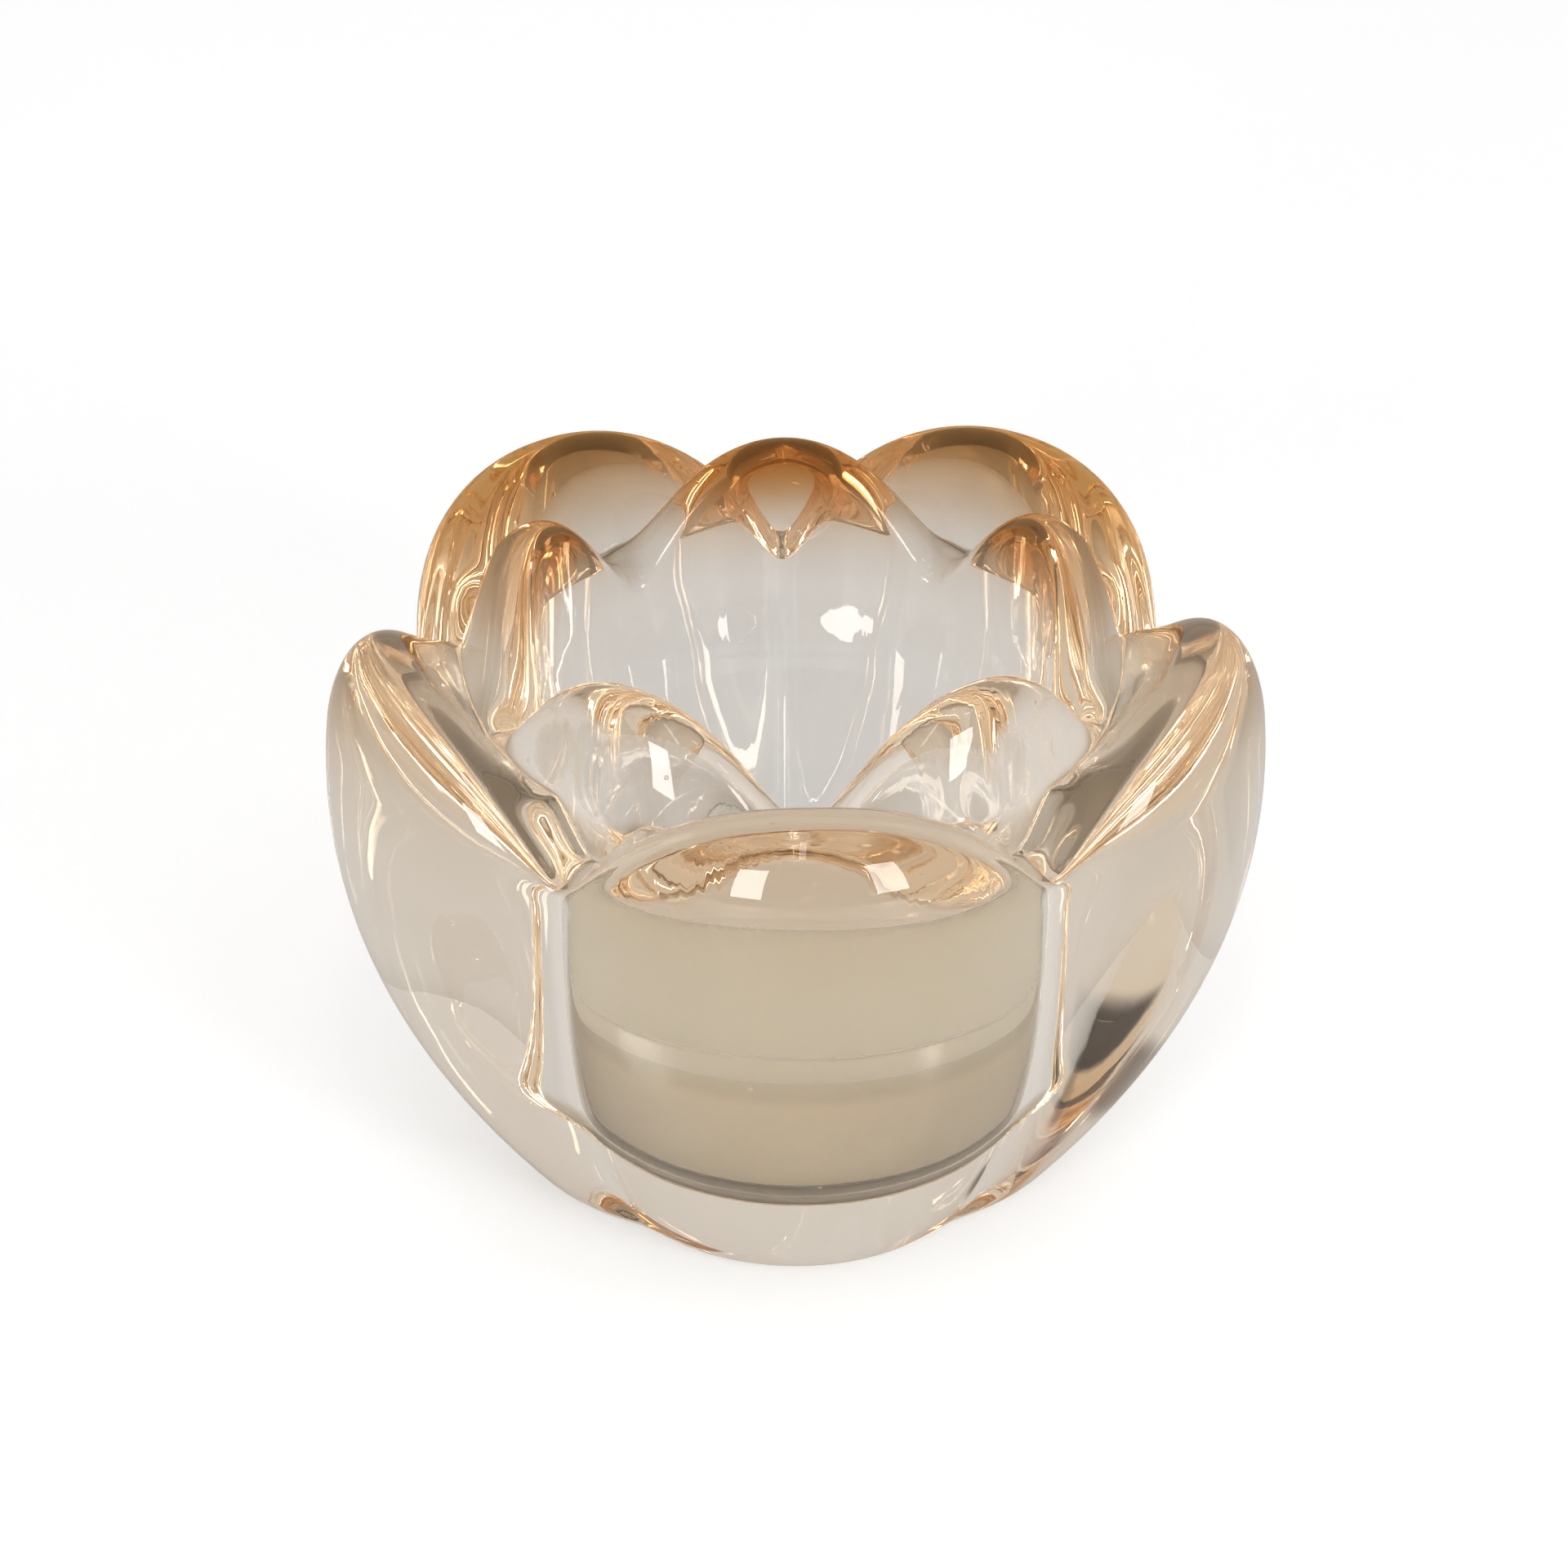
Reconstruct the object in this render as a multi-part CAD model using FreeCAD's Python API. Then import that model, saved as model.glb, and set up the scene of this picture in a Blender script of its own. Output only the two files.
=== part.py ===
import FreeCAD, Part
import math
import os

# Lotus tealight holder: one pressed-glass bowl of five outer and five inner petals
# round a smooth well, with the clear-cup tealight that the well is made to hold.
# Millimetres.  Origin: centre of the flat underside.  +Z up, one outer petal faces -Y.

# ---------------------------------------------------------------- glass, plan
PETALS = 5                      # outer petals, and as many inner petals between them
HALF_SECTOR = math.pi / PETALS  # from the middle of an outer petal to a groove

# ---------------------------------------------------------------- glass, outer petals
BASE_RADIUS = 33.4              # where the middle of a petal would meet the table
BELLY_RADIUS = 57.4             # widest point of a petal
BELLY_HEIGHT = 57.0             # height of that widest point
GROOVE_BASE_RADIUS = 30.5       # where the groove between two petals would meet the table
GROOVE_TOP_RADIUS = 46.2        # the groove at BELLY_HEIGHT
GROOVE_POWER = 2.4              # how much sooner the groove bends in than the petal does
FOOT_ROUND = 2.4                # polished edge round the flat underside
OUTER_TIP_HEIGHT = 74.7         # top of an outer petal
OUTER_VALLEY_HEIGHT = 58.6      # top of the groove between two outer petals
OUTER_TIP_RADIUS = 49.0
OUTER_VALLEY_RADIUS = 46.4
OUTER_VALLEY_BULGE = 0.6        # the rim stands this far outside the groove at a valley
OUTER_ARCH_SIDES = 2.15         # exponents of the arch that a petal's rim follows
OUTER_ARCH_TOP = 1.67
OUTER_NOTCH_ROUND = 0.10        # share of a half sector over which the groove is rounded
SHOULDER_DROP = 10.4            # height of the rounded shoulder at a petal's middle
SHOULDER_DROP_VALLEY = 3.6

# ---------------------------------------------------------------- glass, inner petals
INNER_TIP_HEIGHT = 78.0
INNER_VALLEY_HEIGHT = 63.9
INNER_TIP_RADIUS = 33.4
INNER_VALLEY_RADIUS = 35.8
INNER_ARCH_SIDES = 2.1
INNER_ARCH_TOP = 1.25
INNER_NOTCH_ROUND = 0.16        # share of a half sector over which an inner notch is rounded
LIP_DROP = 2.2                  # rounded inner lip at an inner petal's tip
LIP_DROP_VALLEY = 3.0

# ---------------------------------------------------------------- glass, crease between them
CREASE_NOTCH_RADIUS = 38.8      # end of the crease behind the middle of an outer petal
CREASE_NOTCH_HEIGHT = 63.8
CREASE_GROOVE_RADIUS = 42.5     # where it runs out between two outer petals
CREASE_RISE = 3.0               # how far it would climb on the way, if no rim held it down
CREASE_SADDLE = 0.8             # height of the saddle between two outer petals, above the rim there
CREASE_BLEND = 2.0              # per millimetre; sharpness of the change-over to a rim's height
CREASE_SOFTNESS = 0.45          # half width of the rounded bottom of that crease
CREASE_NOTCH_ROUND = 0.20       # share of a half sector over which it rounds the inner petal
CREASE_CLEARANCE = 0.25         # the crease stays about this far below both rims
BACK_UPRIGHT = 0.3              # share of its lean that an inner petal's back loses at its middle
BACK_FULLNESS = 0.06            # extra roundness of that back at its middle

# ---------------------------------------------------------------- glass, well
MOUTH_RADIUS = 31.0             # well above the flare
CUP_SEAT_RADIUS = 28.3          # well below the flare, where the tealight stands
FLARE_TOP_HEIGHT = 60.0
FLARE_FOOT_HEIGHT = 49.0
WELL_DRAFT = 0.03               # loss of radius per millimetre below the flare's top
WELL_FLOOR_HEIGHT = 16.0
WELL_FLOOR_ROUND = 5.0          # rounded corner between wall and floor

# ---------------------------------------------------------------- tealight
CUP_RADIUS = 19.0
CUP_HEIGHT = 16.5
CUP_WALL = 0.6
CUP_FLOOR = 0.6
CUP_DRAFT = 0.5                 # the cup is this much narrower at its foot
CUP_FOOT_ROUND = 1.4
CUP_BEAD = 0.45                 # radius of the rounded bead on the cup's lip
WAX_HEIGHT = 12.6
WAX_MENISCUS = 0.7              # wax climbs the cup wall by this much
SUSTAINER_RADIUS = 6.5
SUSTAINER_THICKNESS = 0.3
SUSTAINER_NECK_RADIUS = 1.45
SUSTAINER_NECK_HEIGHT = 3.0
WICK_RADIUS = 0.9
WICK_ABOVE_WAX = 9.0
WICK_LEAN = 1.1                 # sideways lean of the wick's free end

# ---------------------------------------------------------------- surface net
ACROSS = 22                     # net rows over a half sector
SAMPLES_FOOT = 4
SAMPLES_WALL = 16
SAMPLES_SHOULDER = 8
SAMPLES_RIM = 9
SAMPLES_CREASE = 3
SAMPLES_INNER = 10
SAMPLES_LIP = 8
SAMPLES_WELL = 16
SAMPLES_CORNER = 6


def clamp(value, low, high):
    return max(low, min(high, value))


def arch(share, sides, top):
    """Height of a petal's rim, 1 at its tip (share 0) and 0 at its valley (share 1)."""
    return max(0.0, 1.0 - share ** sides) ** (1.0 / top)


def softened(share, notch_round):
    """Share of the half sector, eased so that a notch at share 1 comes out rounded."""
    return max(0.0, 1.0 - math.hypot(1.0 - share, notch_round))


def soft_arch(share, sides, top, notch_round):
    lowest = arch(1.0 - notch_round, sides, top)
    return (arch(softened(share, notch_round), sides, top) - lowest) / (1.0 - lowest)


def bezier(start, start_pull, end_pull, end, count):
    """Points of a cubic from start towards end, leaving out the end itself."""
    points = []
    for step in range(count):
        t = step / count
        a = (1 - t) ** 3
        b = 3 * t * (1 - t) ** 2
        c = 3 * t * t * (1 - t)
        d = t ** 3
        points.append((a * start[0] + b * start_pull[0] + c * end_pull[0] + d * end[0],
                       a * start[1] + b * start_pull[1] + c * end_pull[1] + d * end[1]))
    return points


def along(point, direction, distance):
    length = math.hypot(direction[0], direction[1])
    return (point[0] + direction[0] / length * distance,
            point[1] + direction[1] / length * distance)


def gap(a, b):
    return math.hypot(a[0] - b[0], a[1] - b[1])


def wall_radius(height, share):
    """Radius of the petals' outer face at a height, share 0 at a petal's middle.

    In plan each petal is one arc through its middle and through the two grooves beside it.
    """
    middle = BELLY_RADIUS - (BELLY_RADIUS - BASE_RADIUS) * (1.0 - height / BELLY_HEIGHT) ** 2
    below_belly = max(0.0, 1.0 - height / BELLY_HEIGHT)
    groove = GROOVE_TOP_RADIUS - (GROOVE_TOP_RADIUS - GROOVE_BASE_RADIUS) * below_belly ** GROOVE_POWER
    centre = (middle ** 2 - groove ** 2) / (2 * (middle - groove * math.cos(HALF_SECTOR)))
    angle = softened(share, OUTER_NOTCH_ROUND) * HALF_SECTOR
    arc_radius = middle - centre
    return centre * math.cos(angle) + math.sqrt(arc_radius ** 2 - (centre * math.sin(angle)) ** 2)


def wall_direction(height, share):
    step = 0.01
    return (wall_radius(height + step, share) - wall_radius(height, share), step)


def well_radius(height):
    """The well: a cup for the tealight below, flaring into a wider mouth above."""
    down = clamp((FLARE_TOP_HEIGHT - height) / (FLARE_TOP_HEIGHT - FLARE_FOOT_HEIGHT), 0.0, 1.0)
    ease = down * down * (3 - 2 * down)
    draft = WELL_DRAFT * max(0.0, FLARE_TOP_HEIGHT - height)
    return MOUTH_RADIUS - (MOUTH_RADIUS - CUP_SEAT_RADIUS) * ease - draft


def well_direction(height):
    step = 0.01
    return (well_radius(height - step) - well_radius(height), -step)


def crease_point(share):
    """Bottom of the crease, nearly a ring, as it would run if no rim held it down."""
    travel = softened(share, CREASE_NOTCH_ROUND) ** 2
    return (CREASE_NOTCH_RADIUS + (CREASE_GROOVE_RADIUS - CREASE_NOTCH_RADIUS) * travel,
            CREASE_NOTCH_HEIGHT + CREASE_RISE * travel)


def soft_least(*heights):
    """The least of the heights, with a rounded change-over from one to the next."""
    return -math.log(sum(math.exp(-CREASE_BLEND * height) for height in heights)) / CREASE_BLEND


def section(share):
    """Radial section of the glass from the table edge over both petals to the well floor."""
    outer_rise = soft_arch(share, OUTER_ARCH_SIDES, OUTER_ARCH_TOP, OUTER_NOTCH_ROUND)
    inner_rise = soft_arch(1.0 - share, INNER_ARCH_SIDES, INNER_ARCH_TOP, INNER_NOTCH_ROUND)
    outer_swing = softened(share, OUTER_NOTCH_ROUND) ** 2
    inner_swing = softened(1.0 - share, INNER_NOTCH_ROUND) ** 2
    outer_end = OUTER_VALLEY_RADIUS + OUTER_VALLEY_BULGE
    outer_tip = (OUTER_TIP_RADIUS + (outer_end - OUTER_TIP_RADIUS) * outer_swing,
                 OUTER_VALLEY_HEIGHT + (OUTER_TIP_HEIGHT - OUTER_VALLEY_HEIGHT) * outer_rise)
    inner_tip = (INNER_TIP_RADIUS + (INNER_VALLEY_RADIUS - INNER_TIP_RADIUS) * inner_swing,
                 INNER_VALLEY_HEIGHT + (INNER_TIP_HEIGHT - INNER_VALLEY_HEIGHT) * inner_rise)
    crease = crease_point(share)
    below_outer = outer_tip[1] - CREASE_CLEARANCE + CREASE_SADDLE * share ** 4
    below_inner = inner_tip[1] - CREASE_CLEARANCE
    crease = (crease[0], soft_least(crease[1], below_outer, below_inner))

    # polished foot
    foot_start = (wall_radius(0.0, share) - FOOT_ROUND, 0.0)
    foot_end = (wall_radius(FOOT_ROUND, share), FOOT_ROUND)
    pull = gap(foot_start, foot_end) * 0.37
    lean = wall_direction(FOOT_ROUND, share)
    points = bezier(foot_start, along(foot_start, (1, 0), pull),
                    along(foot_end, lean, -pull), foot_end, SAMPLES_FOOT)

    # petal wall
    drop = SHOULDER_DROP_VALLEY + (SHOULDER_DROP - SHOULDER_DROP_VALLEY) * outer_rise
    wall_top = outer_tip[1] - drop
    for step in range(SAMPLES_WALL):
        height = FOOT_ROUND + (wall_top - FOOT_ROUND) * step / SAMPLES_WALL
        points.append((wall_radius(height, share), height))

    # rounded shoulder up to the rim
    shoulder = (wall_radius(wall_top, share), wall_top)
    pull = gap(shoulder, outer_tip) * 0.38
    points += bezier(shoulder, along(shoulder, wall_direction(wall_top, share), pull),
                     along(outer_tip, (1, 0), pull), outer_tip, SAMPLES_SHOULDER)

    # inner face of the outer petal, down to the crease
    run = gap(outer_tip, crease)
    fall = ((crease[0] - outer_tip[0]) / run * 0.6 - 0.14, (crease[1] - outer_tip[1]) / run * 0.6 - 0.376)
    soft_in = min(CREASE_SOFTNESS, 0.3 * run)
    crease_in = along(crease, fall, -soft_in)
    points += bezier(outer_tip, along(outer_tip, (-1, 0), run * 0.3),
                     along(crease_in, fall, -run * 0.3), crease_in, SAMPLES_RIM)

    # rounded bottom of the crease
    run = gap(inner_tip, crease)
    tipped = 1.0 - BACK_UPRIGHT * share ** 2
    climb = (((inner_tip[0] - crease[0]) / run * 0.55 - 0.068) * tipped,
             (inner_tip[1] - crease[1]) / run * 0.55 + 0.446)
    soft_out = min(CREASE_SOFTNESS, 0.3 * run)
    crease_out = along(crease, climb, soft_out)
    points += bezier(crease_in, along(crease_in, fall, soft_in * 0.67),
                     along(crease_out, climb, -soft_out * 0.67), crease_out, SAMPLES_CREASE)

    # swelling outer face of the inner petal
    points += bezier(crease_out, along(crease_out, climb, run * 0.33),
                     along(inner_tip, (1, 0), run * (0.25 + BACK_FULLNESS * share)), inner_tip, SAMPLES_INNER)

    # rounded lip
    lip_height = inner_tip[1] - LIP_DROP_VALLEY - (LIP_DROP - LIP_DROP_VALLEY) * inner_rise
    lip_end = (well_radius(lip_height), lip_height)
    pull = gap(inner_tip, lip_end) * 0.37
    points += bezier(inner_tip, along(inner_tip, (-1, 0), pull),
                     along(lip_end, well_direction(lip_height), -pull), lip_end, SAMPLES_LIP)

    # well wall
    corner_height = WELL_FLOOR_HEIGHT + WELL_FLOOR_ROUND
    for step in range(SAMPLES_WELL):
        height = lip_height + (corner_height - lip_height) * step / SAMPLES_WELL
        points.append((well_radius(height), height))

    # rounded corner into the flat floor
    corner = (well_radius(corner_height), corner_height)
    floor_edge = (well_radius(WELL_FLOOR_HEIGHT) - WELL_FLOOR_ROUND, WELL_FLOOR_HEIGHT)
    pull = gap(corner, floor_edge) * 0.39
    points += bezier(corner, along(corner, well_direction(corner_height), pull),
                     along(floor_edge, (1, 0), pull), floor_edge, SAMPLES_CORNER)
    points.append(floor_edge)
    return points


def clamped_knots(poles):
    """Knots and multiplicities of a cubic with the given number of poles."""
    spans = poles - 3
    return [float(k) for k in range(spans + 1)], [4] + [1] * (spans - 1) + [4]


def net_shares():
    """Section positions across a half sector, closer together near its two ends."""
    shares = []
    for row in range(ACROSS + 1):
        even = row / ACROSS
        shares.append(even - 0.7 * math.sin(2 * math.pi * even) / (2 * math.pi))
    return shares


def half_petal_face():
    """One half sector of the glass skin, from the middle of an outer petal to a groove."""
    rows = []
    for share in net_shares():
        angle = share * HALF_SECTOR
        row = []
        for radius, height in section(share):
            row.append(FreeCAD.Vector(radius * math.sin(angle), -radius * math.cos(angle), height))
        rows.append(row)
    # the second and last-but-one rows lie square to the mirror planes, for a seamless join
    for plane_row, next_row, angle in ((0, 1, 0.0), (-1, -2, HALF_SECTOR)):
        across = FreeCAD.Vector(math.cos(angle), math.sin(angle), 0)
        for k, point in enumerate(rows[plane_row]):
            offset = (rows[next_row][k] - point).dot(across)
            rows[next_row][k] = point + across * offset
    across_knots, across_mults = clamped_knots(len(rows))
    along_knots, along_mults = clamped_knots(len(rows[0]))
    surface = Part.BSplineSurface()
    surface.buildFromPolesMultsKnots(rows, across_mults, along_mults, across_knots, along_knots,
                                     False, False, 3, 3)
    return surface.toShape()


def glass_body():
    half = half_petal_face()
    mirrored = half.mirror(FreeCAD.Vector(0, 0, 0), FreeCAD.Vector(1, 0, 0))
    skin = []
    for petal in range(PETALS):
        for face in (half, mirrored):
            turned = face.copy()
            turned.rotate(FreeCAD.Vector(0, 0, 0), FreeCAD.Vector(0, 0, 1), petal * 360.0 / PETALS)
            skin.append(turned)
    for level in (0.0, WELL_FLOOR_HEIGHT):
        ring = []
        for face in skin[:2 * PETALS]:
            for edge in face.Edges:
                box = edge.BoundBox
                if abs(box.ZMin - level) < 1e-6 and abs(box.ZMax - level) < 1e-6:
                    ring.append(edge)
        skin.append(Part.Face(Part.Wire(Part.__sortEdges__(ring))))
    shell = Part.makeShell(skin)
    shell.sewShape()
    body = Part.makeSolid(shell)
    if body.Volume < 0:
        body.reverse()
    return body


def revolved(profile):
    """Solid of revolution about Z from a closed list of edges in the XZ plane."""
    face = Part.Face(Part.Wire(Part.__sortEdges__(profile)))
    return face.revolve(FreeCAD.Vector(0, 0, 0), FreeCAD.Vector(0, 0, 1), 360)


def line(a, b):
    return Part.makeLine(FreeCAD.Vector(a[0], 0, a[1]), FreeCAD.Vector(b[0], 0, b[1]))


def arc(a, middle, b):
    return Part.Arc(FreeCAD.Vector(a[0], 0, a[1]), FreeCAD.Vector(middle[0], 0, middle[1]),
                    FreeCAD.Vector(b[0], 0, b[1])).toShape()


def cup_inner_radius(height):
    """Inside radius of the cup at a height above the cup's underside."""
    return CUP_RADIUS - CUP_WALL - CUP_DRAFT * (1.0 - height / CUP_HEIGHT)


def tealight_cup():
    """Thin clear cup with a rounded foot and a bead round its lip."""
    z0 = WELL_FLOOR_HEIGHT
    foot = CUP_RADIUS - CUP_DRAFT
    diag = CUP_FOOT_ROUND * (1 - math.sqrt(0.5))
    inner_round = CUP_FOOT_ROUND - CUP_WALL
    inner_diag = inner_round * (1 - math.sqrt(0.5))
    neck = z0 + CUP_HEIGHT - CUP_BEAD
    floor_in = cup_inner_radius(0.0)
    edges = [
        line((0, z0), (foot - CUP_FOOT_ROUND, z0)),
        arc((foot - CUP_FOOT_ROUND, z0), (foot - diag, z0 + diag), (foot, z0 + CUP_FOOT_ROUND)),
        line((foot, z0 + CUP_FOOT_ROUND), (CUP_RADIUS, neck)),
        arc((CUP_RADIUS, neck), (CUP_RADIUS - CUP_WALL / 2, neck + CUP_BEAD), (CUP_RADIUS - CUP_WALL, neck)),
        line((CUP_RADIUS - CUP_WALL, neck), (floor_in, z0 + CUP_FLOOR + inner_round)),
        arc((floor_in, z0 + CUP_FLOOR + inner_round),
            (floor_in - inner_diag, z0 + CUP_FLOOR + inner_diag),
            (floor_in - inner_round, z0 + CUP_FLOOR)),
        line((floor_in - inner_round, z0 + CUP_FLOOR), (0, z0 + CUP_FLOOR)),
        line((0, z0 + CUP_FLOOR), (0, z0)),
    ]
    return revolved(edges)


def wick_sustainer():
    """Steel disc with a short neck that grips the foot of the wick."""
    z0 = WELL_FLOOR_HEIGHT + CUP_FLOOR
    disc = Part.makeCylinder(SUSTAINER_RADIUS, SUSTAINER_THICKNESS, FreeCAD.Vector(0, 0, z0))
    neck = Part.makeCone(SUSTAINER_NECK_RADIUS + 0.5, SUSTAINER_NECK_RADIUS, SUSTAINER_NECK_HEIGHT,
                         FreeCAD.Vector(0, 0, z0))
    bore = Part.makeCylinder(WICK_RADIUS, SUSTAINER_NECK_HEIGHT, FreeCAD.Vector(0, 0, z0))
    return disc.fuse(neck).removeSplitter().cut(bore)


def wick():
    """Braided wick, upright in the wax and leaning over slightly above it."""
    z0 = WELL_FLOOR_HEIGHT + CUP_FLOOR
    wax_top = z0 + WAX_HEIGHT
    end = FreeCAD.Vector(0, WICK_LEAN, wax_top + WICK_ABOVE_WAX)
    upright = Part.makeLine(FreeCAD.Vector(0, 0, z0), FreeCAD.Vector(0, 0, wax_top + 1))
    free = Part.BezierCurve()
    free.setPoles([FreeCAD.Vector(0, 0, wax_top + 1), FreeCAD.Vector(0, 0, wax_top + 5), end])
    path = Part.Wire([upright, free.toShape()])
    circle = Part.Wire(Part.makeCircle(WICK_RADIUS, FreeCAD.Vector(0, 0, z0), FreeCAD.Vector(0, 0, 1)))
    return path.makePipeShell([circle], True, False)


def tealight_wax():
    """Poured wax filling the cup round the sustainer and the wick."""
    z0 = WELL_FLOOR_HEIGHT + CUP_FLOOR
    top = z0 + WAX_HEIGHT
    inner_round = CUP_FOOT_ROUND - CUP_WALL
    inner_diag = inner_round * (1 - math.sqrt(0.5))
    floor_in = cup_inner_radius(0.0)
    neck = WELL_FLOOR_HEIGHT + CUP_HEIGHT - CUP_BEAD
    lip_in = CUP_RADIUS - CUP_WALL
    foot_in = z0 + inner_round
    climb = (top + WAX_MENISCUS - foot_in) / (neck - foot_in)
    edge = floor_in + (lip_in - floor_in) * climb
    edges = [
        line((0, z0), (floor_in - inner_round, z0)),
        arc((floor_in - inner_round, z0), (floor_in - inner_diag, z0 + inner_diag), (floor_in, foot_in)),
        line((floor_in, foot_in), (edge, top + WAX_MENISCUS)),
        arc((edge, top + WAX_MENISCUS), (edge - 0.6, top + WAX_MENISCUS * 0.25), (edge - 2.0, top)),
        line((edge - 2.0, top), (0, top)),
        line((0, top), (0, z0)),
    ]
    cast = revolved(edges)
    return cast.cut(wick()).cut(wick_sustainer())


def write(name, shape):
    if not shape.isValid() or len(shape.Solids) != 1 or not shape.Solids[0].isClosed():
        raise RuntimeError(name + " is not one valid closed solid")
    shape.Solids[0].exportStep("parts/" + name + ".step")
    box = shape.BoundBox
    print(name, "volume %.1f mm3," % shape.Volume,
          "size %.2f x %.2f x %.2f mm" % (box.XLength, box.YLength, box.ZLength))


os.makedirs("parts", exist_ok=True)
write("glass_body", glass_body())
write("tealight_cup", tealight_cup())
write("wick_sustainer", wick_sustainer())
write("tealight_wick", wick())
write("tealight_wax", tealight_wax())
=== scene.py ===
import bpy
import bmesh
import math
from mathutils import Matrix, Vector


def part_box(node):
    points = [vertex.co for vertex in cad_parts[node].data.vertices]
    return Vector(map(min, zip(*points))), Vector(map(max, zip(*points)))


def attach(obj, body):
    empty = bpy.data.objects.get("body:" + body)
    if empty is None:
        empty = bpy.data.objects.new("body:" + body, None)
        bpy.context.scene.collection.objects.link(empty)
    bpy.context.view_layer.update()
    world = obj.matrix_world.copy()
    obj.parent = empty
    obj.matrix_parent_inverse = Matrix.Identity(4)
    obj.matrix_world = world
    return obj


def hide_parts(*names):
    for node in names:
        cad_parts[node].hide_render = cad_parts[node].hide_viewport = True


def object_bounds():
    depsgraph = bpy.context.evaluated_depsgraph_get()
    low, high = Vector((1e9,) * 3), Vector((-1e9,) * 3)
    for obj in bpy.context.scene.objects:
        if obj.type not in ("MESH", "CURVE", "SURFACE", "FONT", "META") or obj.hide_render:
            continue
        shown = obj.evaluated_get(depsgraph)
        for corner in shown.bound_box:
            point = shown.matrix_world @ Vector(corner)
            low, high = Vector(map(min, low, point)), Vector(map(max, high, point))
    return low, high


# Lotus tealight holder in a pale studio.  The pressed glass, the tealight's cup and its wick are
# drawn here with finer shapes; the wax and the steel disc keep the frame's shapes.
# Metres and degrees, except the glass section, which is in millimetres and scaled by MM.

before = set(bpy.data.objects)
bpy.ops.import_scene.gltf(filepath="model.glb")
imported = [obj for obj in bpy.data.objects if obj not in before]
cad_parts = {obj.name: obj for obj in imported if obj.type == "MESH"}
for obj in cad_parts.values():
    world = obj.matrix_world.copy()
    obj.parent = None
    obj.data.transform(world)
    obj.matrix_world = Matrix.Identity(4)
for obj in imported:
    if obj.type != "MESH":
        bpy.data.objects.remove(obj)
cad_low, cad_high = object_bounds()

# ------------------------------------------------------------------ the frame's sizes
glass_low, glass_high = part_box("glass_body")
cup_low, cup_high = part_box("tealight_cup")
wax_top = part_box("tealight_wax")[1].z
wick_low, wick_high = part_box("tealight_wick")
SECTION_HEIGHT = 77.97          # height of the section below that matches the frame's glass
MM = (glass_high.z - glass_low.z) / SECTION_HEIGHT

# ------------------------------------------------------------------ glass: outer petals
PETALS = 5                      # outer petals, and as many inner petals between them
HALF_SECTOR = math.pi / PETALS  # from the middle of an outer petal to a groove
BASE_RADIUS, BELLY_RADIUS, BELLY_HEIGHT = 33.4, 57.4, 57.0
GROOVE_BASE_RADIUS, GROOVE_TOP_RADIUS = 30.5, 46.2
GROOVE_POWER = 2.4              # how much sooner the groove bends in than the petal does
FOOT_ROUND = 2.4                # polished edge round the flat underside
OUTER_TIP_RADIUS, OUTER_TIP_HEIGHT = 49.0, 74.7
OUTER_VALLEY_RADIUS, OUTER_VALLEY_HEIGHT = 46.4, 58.6
OUTER_VALLEY_BULGE = 0.6        # the rim stands this far outside the groove at a valley
OUTER_ARCH_SIDES, OUTER_ARCH_TOP = 2.15, 1.67
OUTER_NOTCH_ROUND = 0.10        # share of a half sector over which the groove is rounded
SHOULDER_DROP, SHOULDER_DROP_VALLEY = 10.4, 3.6

# ------------------------------------------------------------------ glass: inner petals
INNER_TIP_RADIUS, INNER_TIP_HEIGHT = 33.4, 78.0
INNER_VALLEY_RADIUS, INNER_VALLEY_HEIGHT = 35.8, 63.9
INNER_ARCH_SIDES, INNER_ARCH_TOP = 2.1, 1.25
INNER_NOTCH_ROUND = 0.16
LIP_DROP, LIP_DROP_VALLEY = 2.2, 3.0
BACK_UPRIGHT = 0.3              # share of its lean that an inner petal's back loses at its middle
BACK_FULLNESS = 0.06            # extra roundness of that back at its middle

# ------------------------------------------------------------------ glass: crease between them
CREASE_NOTCH_RADIUS, CREASE_NOTCH_HEIGHT = 38.8, 63.8
CREASE_GROOVE_RADIUS = 42.5     # where it runs out between two outer petals
CREASE_RISE = 3.0               # how far it would climb on the way, if no rim held it down
CREASE_SADDLE = 0.8             # height of the saddle between two outer petals, above the rim there
CREASE_BLEND = 2.0              # per millimetre; sharpness of the change-over to a rim's height
CREASE_SOFTNESS = 0.45          # half width of the rounded bottom of the crease
CREASE_SOFT_SHARE = 0.3         # that half width is at most this share of a slope
CREASE_NOTCH_ROUND = 0.20
CREASE_CLEARANCE = 0.25         # the crease stays about this far below both rims

# ------------------------------------------------------------------ glass: well
MOUTH_RADIUS, SEAT_RADIUS = 31.0, 28.3
FLARE_TOP_HEIGHT, FLARE_FOOT_HEIGHT = 60.0, 49.0
WELL_DRAFT = 0.03               # loss of radius per millimetre below the flare's top
FLOOR_HEIGHT, FLOOR_ROUND = 16.0, 5.0

# ------------------------------------------------------------------ glass: fullness of its curves
FOOT_PULL, SHOULDER_PULL, LIP_PULL, CORNER_PULL = 0.37, 0.38, 0.37, 0.39
SLOPE_PULL, CREASE_PULL, BACK_PULL, TIP_PULL = 0.3, 0.5, 0.33, 0.25
FALL_SHARE, FALL_LEAN = 0.6, (-0.14, -0.376)        # slope from an outer rim into the crease
CLIMB_SHARE, CLIMB_LEAN = 0.55, (-0.068, 0.446)     # slope from the crease up an inner petal
STEP = 0.01                                         # height step over which a slope is measured

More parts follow.
